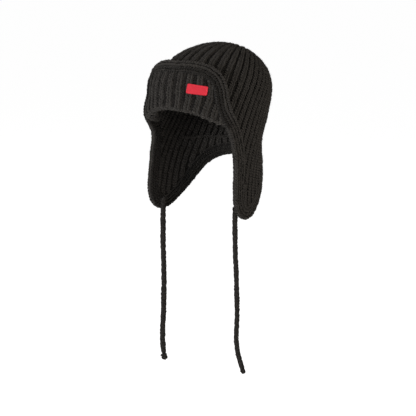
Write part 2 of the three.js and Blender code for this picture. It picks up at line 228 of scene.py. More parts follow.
# The band's centre line round the whole hat, with its directions along, across and out
def bandFrames(spacing):
    half = [(turn, drop * hat["earDrop"], over) for turn, drop, over in bandPath]
    whole = half + [(360 - turn, drop, over) for turn, drop, over in reversed(half[:-1])]
    scale = np.array([1, 1000, 1])  # the chart is bent in degrees and millimetres
    chart = smoothLine(np.array(whole) * scale, 40)[:-1] / scale
    skin = skinAt(chart[:, 0], -chart[:, 1])
    over = np.clip(chart[:, 2], 0, 1)
    overLift = flapAir(np.minimum(chart[:, 0], 360 - chart[:, 0])) + hat["bandWall"] / 2
    lift = over * overLift - (1 - over) * hat["wall"] / 2
    line = skin + skinNormal(skin) * lift[:, None]
    line = np.vstack([line, line[:1]])
    length = np.linalg.norm(np.diff(line, axis=0), axis=1).sum()
    count = round(length / spacing)
    point, share = evenly(length / count, line, np.append(over, 1.0), start=0)
    point, share = point[:count], share[:count]
    along = unit(np.roll(point, -1, 0) - np.roll(point, 1, 0))
    across = unit(np.cross(skinNormal(point), along))
    out = unit(np.cross(along, across))
    return {"point": point, "along": along, "across": across, "out": out, "over": share[:, 0]}


band = bandFrames(1 * mm)


# Distance of points from the band's centre line, positive towards the crown, and how far the band
# lies over the front flap there
def besideBand(points):
    distance, over = np.empty(len(points)), np.empty(len(points))
    for i in range(0, len(points), 2000):
        part = points[i:i + 2000]
        nearest = ((part[:, None] - band["point"]) ** 2).sum(2).argmin(1)
        distance[i:i + 2000] = ((part - band["point"][nearest]) * band["across"][nearest]).sum(1)
        over[i:i + 2000] = band["over"][nearest]
    return distance, over


def linear(value):
    parts = [int(value[i:i + 2], 16) / 255 for i in (1, 3, 5)]
    return tuple(c / 12.92 if c <= 0.04045 else ((c + 0.055) / 1.055) ** 2.4 for c in parts) + (1,)


def addNode(tree, kind, settings=None, inputs=None):
    made = tree.nodes.new(kind)
    for key, value in (settings or {}).items():
        setattr(made, key, value)
    for key, value in (inputs or {}).items():
        if isinstance(value, bpy.types.NodeSocket):
            tree.links.new(value, made.inputs[key])
        else:
            made.inputs[key].default_value = value
    return made


def newMaterial(name):
    material = bpy.data.materials.new(name)
    material.use_nodes = True
    material.node_tree.nodes.clear()
    return material, material.node_tree


# Spun acrylic: three plies twisted round each other, drawn coarser than real so that they show. They
# give fine slanting lines, with painted shade darkening the grooves between the plies. Each leg is
# painted palest on its crest and darker towards its sides, as painted shade in the crevices between
# stitches, and the matt fibres glow a little at grazing angles
yarn = {
    "dark": "#0f0e0d", "light": "#3d3a37", "plies": 3, "twist": 0.8, "fibre": 0.3 * mm, "patch": 5 * mm,
    "paintedCrestShade": 0.45, "darkest": 1.3, "palest": 2.5, "palestFlat": 1.8,
    "relief": 2.2 * mm, "reliefFlat": 0.25 * mm,
}


def yarnMaterial(name, settings, twisted=True):
    material, tree = newMaterial(name)
    place = addNode(tree, "ShaderNodeTexCoord").outputs["Object"]
    patch = addNode(tree, "ShaderNodeTexNoise", None, {
        "Vector": place, "Scale": 1 / settings["patch"], "Detail": 3})
    fibre = addNode(tree, "ShaderNodeTexNoise", None, {
        "Vector": place, "Scale": 1 / settings["fibre"], "Detail": 2})
    mixed = addNode(tree, "ShaderNodeMath", {"operation": "MULTIPLY_ADD"}, {
        0: patch.outputs["Fac"], 1: 2, 2: fibre.outputs["Fac"]})
    height = fibre.outputs["Fac"]
    depth, palest = settings["reliefFlat"], settings["palestFlat"]
    if twisted:
        uv = addNode(tree, "ShaderNodeUVMap", {"uv_map": "yarn"}).outputs["UV"]
        turned = addNode(tree, "ShaderNodeMapping", None, {"Vector": uv})
        turned.inputs["Scale"].default_value = (settings["plies"], settings["plies"] * settings["twist"], 1)
        plies = addNode(tree, "ShaderNodeTexWave", {"bands_direction": "DIAGONAL", "wave_profile": "SIN"}, {
            "Vector": turned.outputs[0], "Scale": math.pi / 5,
            "Distortion": 0.5, "Detail": 1, "Detail Scale": 2})
        height = addNode(tree, "ShaderNodeMath", {"operation": "MULTIPLY_ADD"}, {
            0: fibre.outputs["Fac"], 1: 0.4, 2: plies.outputs["Fac"]}).outputs[0]
        # Painted shade: the colour is darker in the grooves between the plies
        mixed = addNode(tree, "ShaderNodeMath", {"operation": "MULTIPLY_ADD"}, {
            0: plies.outputs["Fac"], 1: 0.8, 2: mixed.outputs[0]})
        # Painted shade: each leg is palest on its crest and darker towards its sides, by its place round the
        # leg
        around = addNode(tree, "ShaderNodeSeparateXYZ", None, {0: uv}).outputs["X"]
        angle = addNode(tree, "ShaderNodeMath", {"operation": "MULTIPLY_ADD"}, {
            0: around, 1: 2 * math.pi, 2: math.pi / 2})
        paintedCrestShade = addNode(tree, "ShaderNodeMath", {"operation": "COSINE"}, {0: angle.outputs[0]})
        mixed = addNode(tree, "ShaderNodeMath", {"operation": "MULTIPLY_ADD"}, {
            0: paintedCrestShade.outputs[0], 1: settings["paintedCrestShade"], 2: mixed.outputs[0]})
        depth, palest = settings["relief"], settings["palest"]
    tone = addNode(tree, "ShaderNodeMapRange", None, {
        "Value": mixed.outputs[0], "From Min": settings["darkest"], "From Max": palest})
    colour = addNode(tree, "ShaderNodeMix", {"data_type": "RGBA"}, {
        "Factor": tone.outputs[0], "A": linear(settings["dark"]), "B": linear(settings["light"])})
    bump = addNode(tree, "ShaderNodeBump", None, {"Height": height, "Strength": 0.7, "Distance": depth})
    shader = addNode(tree, "ShaderNodeBsdfPrincipled", None, {
        "Base Color": colour.outputs["Result"], "Roughness": 0.9, "IOR": 1.5, "Specular IOR Level": 0.2,
        "Sheen Weight": 0.35, "Sheen Roughness": 0.45, "Sheen Tint": linear("#8f8a82"),
        "Normal": bump.outputs[0]})
    addNode(tree, "ShaderNodeOutputMaterial", None, {"Surface": shader.outputs[0]})
    return material


yarnKnit = yarnMaterial("acrylic yarn, knitted", yarn)
# The cords are worked small, so they look more even; a darker copy carries painted shade, and a paler
# copy on the bound off chain carries a painted highlight; the ground, darker as painted shade, and the
# loose fibres are too fine for plies to show
yarnCord = yarnMaterial("acrylic yarn, knitted cord", {**yarn, "dark": "#181615", "light": "#312e2c"})
yarnShade = yarnMaterial("acrylic yarn, painted shade", {**yarn, "dark": "#090808", "light": "#272523"})
yarnChainHighlight = yarnMaterial("acrylic yarn, bound off, painted highlight", {**yarn, "dark": "#1d1b1a", "light": "#55514d"})
# Darker yarn for the ground, the purl bumps in the grooves and the joins: painted shade between the ribs
ground = {**yarn, "dark": "#141211", "light": "#24211e"}
yarnShadedGround = yarnMaterial("acrylic yarn, painted shade between the ribs", ground, twisted=False)
fluff = {**yarn, "dark": "#2a2826", "light": "#4a4743"}
yarnFibre = yarnMaterial("acrylic yarn, loose fibres", fluff, twisted=False)
print("materials made")


def finishPiece(name, mesh, materials, smooth=True):
    for material in materials:
        mesh.materials.append(material)
    if smooth:
        mesh.shade_smooth()
    piece = bpy.data.objects.new(name, mesh)
    bpy.context.collection.objects.link(piece)
    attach(piece, "root")
    return piece


# The numbers of a small mesh, to be copied many times
def formOf(bm):
    mesh = bpy.data.meshes.new("form")
    bm.to_mesh(mesh)
    bm.free()
    form = {
        "points": np.array([v.co[:] for v in mesh.vertices]),
        "corners": np.array([loop.vertex_index for loop in mesh.loops]),
        "starts": np.array([face.loop_start for face in mesh.polygons]),
        "places": np.array([uv.vector[:] for uv in mesh.uv_layers["yarn"].uv]),
    }
    bpy.data.meshes.remove(mesh)
    return form


# One plump leg of a stitch along Z, 1 wide, 1 thick and 1 long, fuller towards its head
def stitchForm(sides, rings, fullness=0.3):
    bm = bmesh.new()
    bm.loops.layers.uv.new("yarn")
    bmesh.ops.create_uvsphere(bm, u_segments=sides, v_segments=rings, radius=0.5, calc_uvs=True)
    for vertex in bm.verts:
        swell = 1 + fullness * vertex.co.z
        vertex.co.x *= swell
        vertex.co.y *= swell
    return formOf(bm)


# A loose fibre: a narrow strip 1 long that bends outwards and ends in a point
def looseFibre(segments):
    bm = bmesh.new()
    bm.loops.layers.uv.new("yarn")
    bmesh.ops.create_grid(bm, x_segments=1, y_segments=segments, size=0.5, calc_uvs=True)
    for vertex in bm.verts:
        along = vertex.co.y + 0.5
        vertex.co = (vertex.co.x * (1 - 0.8 * along), along * along, along)
    return formOf(bm)


# Copies a form to every stitch: centre, the three directions and the three sizes
def scatter(name, form, stitches):
    centre, side, out, axis, size = (np.vstack(rows) for rows in zip(*stitches))
    count, each = len(centre), len(form["points"])
    local = form["points"][None] * size[:, None]
    turned = [local[:, :, k:k + 1] * rows[:, None] for k, rows in enumerate((side, out, axis))]
    placed = centre[:, None] + sum(turned)
    mesh = bpy.data.meshes.new(name)
    mesh.vertices.add(count * each)
    mesh.vertices.foreach_set("co", placed.ravel())
    shift = np.arange(count)[:, None]
    corners = form["corners"][None] + shift * each
    mesh.loops.add(corners.size)
    mesh.loops.foreach_set("vertex_index", corners.ravel())
    starts = form["starts"][None] + shift * len(form["corners"])
    mesh.polygons.add(starts.size)
    mesh.polygons.foreach_set("loop_start", starts.ravel())
    places = np.tile(form["places"], (count, 1))
    mesh.uv_layers.new(name="yarn", do_init=False).uv.foreach_set("vector", places.ravel())
    across = math.ceil(math.sqrt(count))
    cell = np.repeat(np.stack([shift[:, 0] % across, shift[:, 0] // across], 1), len(form["corners"]), 0)
    margin = 0.04  # of a cell, so that neighbours' colours stay apart in the bake
    baked = (cell + margin + (1 - 2 * margin) * places) / across
    mesh.uv_layers.new(name="OFBake", do_init=False).uv.foreach_set("vector", baked.ravel())
    mesh.update(calc_edges=True)
    print(name, count, "copies")
    return mesh


def knitPiece(name, form, stitches, material):
    return finishPiece(name, scatter(name, form, stitches), [material])


# A grid made by the operator and laid over a surface: place takes its two shares from 0 to 1
def laidGrid(name, columns, rows, place):
    bm = bmesh.new()
    bm.loops.layers.uv.new("yarn")
    bmesh.ops.create_grid(bm, x_segments=columns, y_segments=rows, size=1, calc_uvs=True)
    flat = np.array([vertex.co[:2] for vertex in bm.verts])
    for vertex, spot in zip(bm.verts, place(*((flat.T + 1) / 2))):
        vertex.co = spot
    bmesh.ops.remove_doubles(bm, verts=bm.verts, dist=1e-6)
    bmesh.ops.recalc_face_normals(bm, faces=bm.faces)
    mesh = bpy.data.meshes.new(name)
    bm.to_mesh(mesh)
    bm.free()
    return mesh


# Hand knitting is never quite even: spread of the slant in degrees, of places in rows and of sizes
unevenness = {"slant": 5, "place": 0.05, "size": 0.08}


# V stitches down a line: two legs to a stitch, whose feet meet in the middle and whose heads dive
# under the next
def vStitches(point, out, down, width, row, sizes):
    side = unit(np.cross(out, down))
    legs = []
    for sign in (-1, 1):
        slant = np.radians(sizes["slant"] + unevenness["slant"] * rng.standard_normal((len(point), 1)))
        axis = unit(-down * np.cos(slant) + sign * side * np.sin(slant) - out * sizes["dive"])
        across = unit(np.cross(out, axis))
        centre = point + sign * side * width * sizes["spread"] + out * sizes["lift"]
        centre = centre + unevenness["place"] * row * rng.standard_normal(centre.shape)
        size = np.tile(np.array([0, sizes["thick"], row * sizes["legLength"]]), (len(point), 1))
        size[:, :1] = width * sizes["legWidth"]
        size *= 1 + unevenness["size"] * rng.standard_normal((len(size), 1))
        legs.append((centre, across, np.cross(axis, across), axis, size))
    return legs


# Purl bumps down a groove, each lying across it
def purls(point, out, down, reach, row, sizes):
    side = unit(np.cross(out, down))
    tilt = np.radians(2 * unevenness["slant"] * rng.standard_normal((len(point), 1)))
    axis = unit(side * np.cos(tilt) + down * np.sin(tilt))
    centre = point + out * sizes["purlLift"]
    size = np.hstack([np.full_like(reach, row), np.full_like(reach, sizes["purlThick"]), reach])
    return [(centre, unit(np.cross(out, axis)), out, axis, size)]


fuzz = {
    "share": 4, "width": 0.07 * mm, "length": 2.3 * mm, "bend": 1.3 * mm, "seat": 0.42, "lean": 1.1,
    "along": 0.35, "outwards": 0.3, "sizes": (0.5, 1.3),
}


# Loose fibres that stand off the stitches, a few to each
def fibres(legs):
    centre, side, out, axis, size = (np.vstack(rows) for rows in zip(*legs))
    pick = rng.integers(0, len(centre), round(fuzz["share"] * len(centre)))
    centre, side, out, axis, size = centre[pick], side[pick], out[pick], axis[pick], size[pick]
    place = rng.uniform(-fuzz["along"], fuzz["along"], (len(pick), 2))
    root = centre + out * size[:, 1:2] * fuzz["seat"]
    root = root + side * size[:, :1] * place[:, :1] + axis * size[:, 2:] * place[:, 1:]
    lean = rng.standard_normal((len(pick), 2)) * fuzz["lean"]
    along = unit(out * fuzz["outwards"] + side * lean[:, :1] + axis * lean[:, 1:])
    flat = unit(np.cross(out, along))
    sizes = np.array([fuzz["width"], fuzz["bend"], fuzz["length"]])
    sizes = sizes * rng.uniform(*fuzz["sizes"], (len(pick), 1))
    return [(root, flat, np.cross(along, flat), along, sizes)]


def keepRows(legs, mask):
    return [tuple(rows[mask] for rows in leg) for leg in legs]


plumpLeg = stitchForm(8, 6)
bandLeg = stitchForm(7, 5)
plainLeg = stitchForm(6, 4)
fibreForm = looseFibre(3)

# Routes of the ties, in millimetres, from inside an ear flap down to the knot
tieRoutes = {
    "left": [
        (80.5, -43, -249), (80.5, -43, -262), (80.4, -43, -280), (80.7, -42.7, -302),
        (81, -42.5, -325), (81.8, -41.9, -345), (82.5, -41.3, -362), (82.9, -41, -385),
        (83.4, -40.6, -408), (83.5, -40.6, -425), (83, -41, -448), (82.8, -41.1, -466),
        (83.8, -40.3, -480), (85.6, -38.9, -492), (88.1, -36.9, -504), (90.1, -35.3, -512),
    ],
    "right": [
        (-79.7, -28.8, -249), (-79.7, -28.8, -262), (-80.2, -29, -285), (-80.1, -29.2, -312),
        (-80, -29.3, -338), (-79.5, -28.9, -362), (-79.3, -28.7, -385), (-79.4, -28.8, -410),
        (-79.9, -29.2, -435), (-80.8, -29.9, -460), (-81.4, -30.4, -482), (-81.6, -30.5, -500),
        (-81, -30, -511), (-80, -29.2, -520),
    ],
}
tie = {
    "wales": 4, "row": 0.6, "width": 0.62, "core": 0.29, "thick": 0.42, "spread": 0.22, "slant": 24,
    "dive": 0.12, "legWidth": 0.6, "legLength": 1.7, "left": 8 * mm, "right": 8.8 * mm,
}
knot = {
    "height": {"left": 9.5 * mm, "right": 11.5 * mm}, "width": {"left": 8.5 * mm, "right": 11 * mm},
    "strand": 0.21, "turns": 90, "sides": 10, "core": 0.8, "stitches": 1.1,
}


# Knitted cord: columns of V stitches all round a line, with sizes as shares of its diameter
def cordStitches(line, facing, diameter):
    row = tie["row"] * diameter
    point, facing = evenly(row, line, facing)
    down = unit(np.gradient(point, axis=0))
    side = unit(np.cross(down, facing))
    front = np.cross(side, down)
    width = np.full((len(point), 1), tie["width"] * diameter)
    sizes = {**tie, "lift": 0, "thick": tie["thick"] * diameter}
    legs = []
    for k in range(tie["wales"]):
        a = 2 * math.pi * k / tie["wales"]
        out = side * math.cos(a) + front * math.sin(a)
        lifted = point + out * tie["core"] * diameter + down * row * (k % 2) / 2
        legs += vStitches(lifted, out, down, width, row, sizes)
    return legs


# Overhand knot: the knitted cord drawn tight on a trefoil, round the tie's own direction
def makeKnot(side, end, direction):
    height, diameter = knot["height"][side], knot["width"][side]
    reach = diameter / 2
    strand = reach * knot["strand"] * 2
    t = np.linspace(0, 2 * math.pi, knot["turns"] + 1)
    loop = np.stack([np.sin(t) + 2 * np.sin(2 * t), np.cos(t) - 2 * np.cos(2 * t), -np.sin(3 * t)], 1)
    loop *= np.array([(reach - strand) / 3, (reach - strand) / 3, height / 2 - strand])
    turn = Vector(direction).to_track_quat("Z", "Y").to_matrix()
    centre = end + direction * (height / 2 + hat["gap"])
    loop = loop @ np.array(turn).T + centre
    along = unit(np.roll(loop[:-1], -1, 0) - np.roll(loop[:-1], 1, 0))
    along = np.vstack([along, along[:1]])
    away = unit(loop - centre)
    across = unit(np.cross(along, away))
    out = np.cross(across, along)

    def place(u, v):
        i = np.rint(v * knot["turns"]).astype(int)
        a = 2 * math.pi * u[:, None]
        return loop[i] + knot["core"] * strand * (np.cos(a) * across[i] + np.sin(a) * out[i])

    mesh = laidGrid(f"tie_knot_{side}_core", knot["sides"], knot["turns"], place)
    core = finishPiece(mesh.name, mesh, [yarnCord])
    stitches = cordStitches(loop, away, 2 * strand * knot["stitches"])
    knit = knitPiece(f"tie_knot_{side}_knit", plainLeg, stitches, yarnCord)
    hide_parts(f"tie_knot_{side}")
    return [core, knit]


def makeTies():
    for side, route in tieRoutes.items():
        line = smoothLine(np.array(route), 12) * mm
        facing = np.tile((0, 1.0, 0), (len(line), 1))
        legs = cordStitches(line, facing, tie[side])
        cord = knitPiece(f"tie_{side}_knit", bandLeg, legs, yarnCord)
        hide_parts(f"tie_{side}")
        ends = makeKnot(side, line[-1], unit(line[-1] - line[-2]))


makeTies()

crownRib = {
    "row": 4.2 * mm, "spread": 0.165, "lift": -1.6 * mm, "innerLift": -0.8 * mm, "slant": 25, "dive": 0.2,
    "legWidth": 0.37, "thick": 4.6 * mm, "legLength": 2, "fullPitch": 12.6 * mm, "leastPitch": 6.6 * mm,
    "purlLift": -3.9 * mm, "purlThick": 3.2 * mm, "purlReach": 0.42, "first": 0.012, "steps": 420,
    "bandEdge": 1 * mm, "browEdge": 1.5 * mm,
}


# Which points of the crown's skin carry stitches that show
def crownShows(point, inner):
    beyond, over = besideBand(point)
    turn = np.abs(turnOf(point))
    half = hat["bandWidth"] / 2
    front = turn < hat["flapHalfTurn"]
    above = -point[:, 2] < readTable(browEdge, turn)[:, 1] * hat["earDrop"] - crownRib["browEdge"]
    clear = beyond > half - crownRib["bandEdge"]
    if inner:
        return clear | (front & above)
    return clear | ((over > 0.5) & (beyond > -half) & (above | ~front))


def crownRibs(inner):
    legs, purl = [], []
    sign = -1 if inner else 1
    step = 360 / hat["ribs"]
    along = np.linspace(crownRib["first"], 2, crownRib["steps"])
    for k in range(hat["ribs"]):
        turn = (k + (0.5 if inner else 0)) * step
        line = ribPoint(np.full_like(along, turn), along)
        beside = ribPoint(np.full_like(along, turn + step / 4), along)
        pitch = 4 * np.linalg.norm(beside - line, axis=1)
        point, pitch, place = evenly(crownRib["row"], line, pitch, along)
        normal = skinNormal(point)
        down = unit(np.gradient(point, axis=0))
        merge = 2 ** np.ceil(np.log2(np.maximum(1, crownRib["leastPitch"] / pitch[:, 0])))
        width = np.minimum(pitch * merge[:, None], crownRib["fullPitch"])
        kept = crownShows(point, inner) & (k % merge == 0)
        sizes = crownRib
        if inner:
            point = point - normal * hat["wall"]
            sizes = {**crownRib, "lift": crownRib["innerLift"]}
        else:
            groove = ribPoint(turn + merge * step / 2, place[:, 0])
            reach = width * crownRib["purlReach"]
            made = purls(groove, skinNormal(groove), down, reach, crownRib["row"], crownRib)
            purl += keepRows(made, kept & crownShows(groove, inner))
        made = vStitches(point, sign * normal, down, width, crownRib["row"], sizes)
        legs += keepRows(made, kept)
    return legs, purl


# Chain of stitches across the inside of the back, above the nape
innerSeam = {
    "drop": 0.568, "turns": (119, 241), "width": 5.4 * mm, "lift": 0.9 * mm,
    "legWidth": 0.5, "legLength": 1.6,
}


def seamStitches():
    turn = np.linspace(*innerSeam["turns"], 200)
    line = skinAt(turn, np.full_like(turn, -innerSeam["drop"] * hat["earDrop"]))
    line = line - skinNormal(line) * hat["wall"]
    point, = evenly(crownRib["row"], line)
    along = unit(np.gradient(point, axis=0))
    width = np.full((len(point), 1), innerSeam["width"])
    sizes = {**crownRib, **innerSeam}
    return vStitches(point, -skinNormal(point), along, width, crownRib["row"], sizes)


def halves(legs):
    left = [tuple(rows[leg[0][:, 0] > 0] for rows in leg) for leg in legs]
    right = [tuple(rows[leg[0][:, 0] <= 0] for rows in leg) for leg in legs]
    return left, right


# The knit between and below the stitches: the solid's own shape, drawn in a little all over
def groundCopy(name, node, drawnIn):
    bm = bmesh.new()
    bm.from_mesh(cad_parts[node].data)
    bmesh.ops.remove_doubles(bm, verts=bm.verts, dist=1e-6)
    bm.normal_update()
    for vertex, normal in [(vertex, vertex.normal.copy()) for vertex in bm.verts]:
        vertex.co -= normal * drawnIn
    mesh = bpy.data.meshes.new(name)
    bm.to_mesh(mesh)
    bm.free()
    mesh.materials.clear()
    # Painted shade: the ground takes the darker yarn
    ground = finishPiece(name, mesh, [yarnShadedGround])
    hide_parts(node)


def makeCrown():
    groundCopy("crown_ground", "crown", 1.2 * mm)
    ribs, purl = crownRibs(False)
    for side, legs in zip(("left", "right"), halves(ribs)):
        knitPiece(f"crown_ribs_{side}", plumpLeg, legs, yarnKnit)
        knitPiece(f"crown_fuzz_{side}", fibreForm, fibres(legs), yarnFibre)
    # The purl bumps in the grooves take the darker yarn as painted shade
    knitPiece("crown_grooves", plainLeg, purl, yarnShadedGround)
    knitPiece("crown_inner_ribs", plainLeg, crownRibs(True)[0] + seamStitches(), yarnKnit)
    print("crown made")


makeCrown()

edgeBand = {
    "row": 4.2 * mm, "rows": 4, "width": 4.9 * mm, "thick": 4 * mm, "length": 7.6 * mm, "slant": 26,
    "dive": 0.16, "lift": -0.9 * mm, "innerLift": 0.5 * mm, "roll": 0.7 * mm, "chainSeat": 1.4 * mm,
    "chainLift": 1.6 * mm, "chainWidth": 3.92 * mm, "paintedShadeRows": 2,
}


# Rows of stitches along the band, fuller towards its free side where it lies over the front flap, and
# a chain along each side. The rows and chain on the flap's side there and the rows on the inner face
# take a darker yarn as painted shade, and the chain along the top a paler one as a painted highlight
def bandStitches():
    point, along, across, out, over = evenly(
        edgeBand["row"], np.vstack([band["point"], band["point"][:1]]),
        *[np.vstack([band[key], band[key][:1]]) for key in ("along", "across", "out")],
        np.append(band["over"], band["over"][0]))
    along, across, out = unit(along), unit(across), unit(out)
    slant = math.radians(edgeBand["slant"])
    ridge = hat["bandWidth"] / edgeBand["rows"]
    plain, shaded, chain = [], [], []

    def bumps(legs, offset, lift, facing, sideways, tilt, size, kept):
        axis = unit(along * math.cos(tilt) + sideways * math.sin(tilt) - facing * edgeBand["dive"])
        centre = point + across * offset + out * lift
        centre = centre + unevenness["place"] * edgeBand["row"] * rng.standard_normal(centre.shape)
        uneven = 1 + unevenness["size"] * rng.standard_normal((len(point), 1))
        sizes = np.tile(size, (len(point), 1)) * uneven
        side = unit(np.cross(facing, axis))
        legs.append(tuple(rows[kept] for rows in (centre, side, np.cross(axis, side), axis, sizes)))

    free = over[:, 0] < 0.5
    size = (edgeBand["width"], edgeBand["thick"], edgeBand["length"])
    for k in range(edgeBand["rows"]):
        offset = (k + 0.5) * ridge - hat["bandWidth"] / 2
        tilt = slant if k % 2 else -slant
        lift = hat["bandWall"] / 2 + edgeBand["lift"]
        rolled = lift + (k - (edgeBand["rows"] - 1) / 2) * edgeBand["roll"]
        bumps(plain, offset, lift, out, across, tilt, size, free)
        # Where the band lies over the flap, its rows next to the flap take the darker yarn as painted shade
        foot = shaded if k < edgeBand["paintedShadeRows"] else plain
        bumps(foot, offset, rolled, out, across, tilt, size, ~free)
        # The rows on the band's inner face take the darker yarn as painted shade
        inside = edgeBand["innerLift"] - hat["bandWall"] / 2
        bumps(shaded, offset, inside, -out, across, tilt, size, free)
    edge = (edgeBand["chainWidth"], edgeBand["thick"], edgeBand["length"])
    reach = hat["bandWidth"] / 2 - edgeBand["chainSeat"]
    for sign in (-1, 1):
        lift = sign * edgeBand["chainLift"]
        bumps(plain, -reach, lift, -across, out, sign * slant, edge, free)
        # Where the band lies over the flap, the chain along its top edge takes the paler yarn as a painted
        # highlight
        bumps(chain, reach, lift, across, out, sign * slant, edge, ~free)
        # Where the band lies over the flap, the chain on the flap's side takes the darker yarn as painted
        # shade
        bumps(shaded, -reach, lift, -across, out, sign * slant, edge, ~free)
    return plain, shaded, chain


def makeBand():
    groundCopy("edge_band_ground", "edge_band", 1 * mm)
    plain, shaded, chain = bandStitches()
    knitPiece("edge_band_stitches", bandLeg, plain, yarnKnit)
    # The darker stitches: painted shade
    knitPiece("edge_band_painted_shade", bandLeg, shaded, yarnShade)
    # The paler chain: a painted highlight
    knitPiece("edge_band_chain", bandLeg, chain, yarnChainHighlight)
    knitPiece("edge_band_fuzz", fibreForm, fibres(plain + chain), yarnFibre)
    print("edge band made")


makeBand()

# Plain woven tape with rounded corners, folded under at both ends and sewn on
label = {
    "length": 28.4 * mm, "height": 12.4 * mm, "turn": 20.4, "drop": 63 * mm, "tilt": 8, "thick": 1.5 * mm,
    "lift": 1.8 * mm, "columns": 48, "rows": 16, "corner": 1.6 * mm, "colour": "#f03546", "shade": "#d42838",
    "thread": 0.3 * mm, "hem": 1.6 * mm, "hemLift": 0.3 * mm, "ripple": 0.12 * mm, "edge": 0.2 * mm,
    "clear": 0.57,
}


def labelPoint(u, v, lift):
    centre = skinAt(np.array([label["turn"]]), np.array([-label["drop"]]))
    beside = skinAt(np.array([label["turn"] + 0.1]), np.array([-label["drop"]]))
    rate = 0.1 / np.linalg.norm(beside - centre)
    tilt = math.radians(label["tilt"])
    along, up = (u - 0.5) * label["length"], (v - 0.5) * label["height"]
    z = -label["drop"] - along * math.sin(tilt) + up * math.cos(tilt)
    turn = label["turn"] + (along * math.cos(tilt) + up * math.sin(tilt)) * rate
    skin = skinAt(turn, z)
    return skin + skinNormal(skin) * (flapAir(turn) + hat["flapWall"] + lift)[:, None]


frontFlap = {
    "row": 4.2 * mm, "spread": 0.19, "lift": -1.6 * mm, "slant": 27, "dive": 0.2, "legWidth": 0.38,
    "thick": 4.6 * mm, "legLength": 2, "fullPitch": 13.4 * mm,
    "purlLift": -2.4 * mm, "purlThick": 3.2 * mm, "purlReach": 0.46,
    "edgeRow": 4.4 * mm, "edgeWidth": 7.5 * mm, "edgeTurn": 62.5, "edgeLift": -0.9 * mm,
    "endTurns": (0.4, 1.4), "under": 80, "legRows": 60, "foldRows": 40,
}


# Line down the front flap's outer face at one turn, round its fold and up to the crown's edge
def flapLine(turn):
    brow = -readTable(browEdge, np.array([abs(turn)]))[0, 1] * hat["earDrop"] - hat["gap"]
    outLift = flapAir(turn) + hat["flapWall"] / 2
    inLift = -hat["wall"] / 2
    radius = (outLift - inLift) / 2
    foldZ = brow - hat["flapWall"] / 2
    top = max(-readTable(bandPath, np.array([abs(turn)]))[0, 1] * hat["earDrop"], foldZ + 1 * mm)
    legRows, foldRows = frontFlap["legRows"], frontFlap["foldRows"]
    z = np.concatenate([np.linspace(top, foldZ, legRows), np.full(foldRows, foldZ)])
    angle = np.concatenate([np.zeros(legRows), np.linspace(0, math.pi, foldRows)])
    lift = inLift + radius * (1 + np.cos(angle))
    skin = skinAt(np.full_like(z, turn), z)
    normal = skinNormal(skin)
    up = np.array([0, 0, 1.0])
    away = unit(normal * np.cos(angle)[:, None] - up * np.sin(angle)[:, None])
    point = skin + normal * lift[:, None] - up * (radius * np.sin(angle))[:, None]
    return point + away * hat["flapWall"] / 2, away


def flapStitches():
    legs, purl = [], []
    count = hat["flapRibs"]
    for i in range(2 * count + 1):
        turn = hat["flapHalfTurn"] * (i / count - 1)
        point, away = evenly(frontFlap["row"], *flapLine(turn))
        away = unit(away)
        down = unit(np.gradient(point, axis=0))
        beyond, _ = besideBand(point)
        underside = (away * skinNormal(point)).sum(1) < 0.2
        kept = (beyond < 1.5 * mm - hat["bandWidth"] / 2) | underside
        width = np.full((len(point), 1), frontFlap["fullPitch"])
        if i % 2:
            legs += keepRows(vStitches(point, away, down, width, frontFlap["row"], frontFlap), kept)
        else:
            reach = width * frontFlap["purlReach"]
            purl += keepRows(purls(point, away, down, reach, frontFlap["row"], frontFlap), kept)
    return legs, purl


# Chain of stitches along the bottom of the fold, from temple to temple
def foldEdge():
    turns = np.linspace(-frontFlap["edgeTurn"], frontFlap["edgeTurn"], 60)
    rows = [flapLine(turn) for turn in turns]
    lowest = [np.argmin(point[:, 2]) - 8 for point, _ in rows]
    line = np.array([point[i] for (point, _), i in zip(rows, lowest)])
    facing = np.array([away[i] for (_, away), i in zip(rows, lowest)])
    point, away = evenly(frontFlap["edgeRow"], line, facing)
    away = unit(away)
    along = unit(np.gradient(point, axis=0))
    width = np.full((len(point), 1), frontFlap["edgeWidth"])
    beyond, _ = besideBand(point)
    kept = beyond < 3 * mm - hat["bandWidth"] / 2
    sizes = {**frontFlap, "lift": frontFlap["edgeLift"], "legWidth": 0.5, "legLength": 1.7}
    return keepRows(vStitches(point, away, along, width, frontFlap["edgeRow"], sizes), kept)


# Stitches round the under side of each end of the fold, up to the crown's edge
def foldEnds():
    legs = []
    for sign in (-1, 1):
        (line, _), (ahead, away) = [
            [rows[frontFlap["under"]:] for rows in flapLine(sign * (hat["flapHalfTurn"] - inset))]
            for inset in frontFlap["endTurns"]]
        facing = unit(line - ahead)
        line -= away * hat["flapWall"] / 2
        point, facing = evenly(frontFlap["edgeRow"], line, facing)
        facing = unit(facing)
        along = unit(np.gradient(point, axis=0))
        width = np.full((len(point), 1), frontFlap["edgeWidth"])
        sizes = {**frontFlap, "lift": 0, "legWidth": 0.55, "legLength": 1.7, "dive": 0.1}
        legs += vStitches(point, facing, along, width, frontFlap["edgeRow"], sizes)
    return legs


def clearOfLabel(legs):
    centre = labelPoint(np.array([0.5]), np.array([0.5]), 0)
    reach = label["length"] * label["clear"]
    return [tuple(rows[np.linalg.norm(leg[0] - centre, axis=1) > reach] for rows in leg) for leg in legs]


def makeFrontFlap():
    groundCopy("front_flap_ground", "front_flap", 1.2 * mm)
    ribs, purl = flapStitches()
    knitPiece("front_flap_ribs", plumpLeg, ribs + foldEdge() + foldEnds(), yarnKnit)
    knitPiece("front_flap_fuzz", fibreForm, clearOfLabel(fibres(ribs)), yarnFibre)
    # The purl bumps in the grooves take the darker yarn as painted shade
    knitPiece("front_flap_grooves", plainLeg, purl, yarnShadedGround)
    print("front flap made")


makeFrontFlap()

# Knit that joins the crown to the band's inner side, from the temples round to the nape
join = {"turns": (55, 181), "tuck": 1.5 * mm, "reach": 4 * mm, "thick": 3 * mm, "columns": 4}


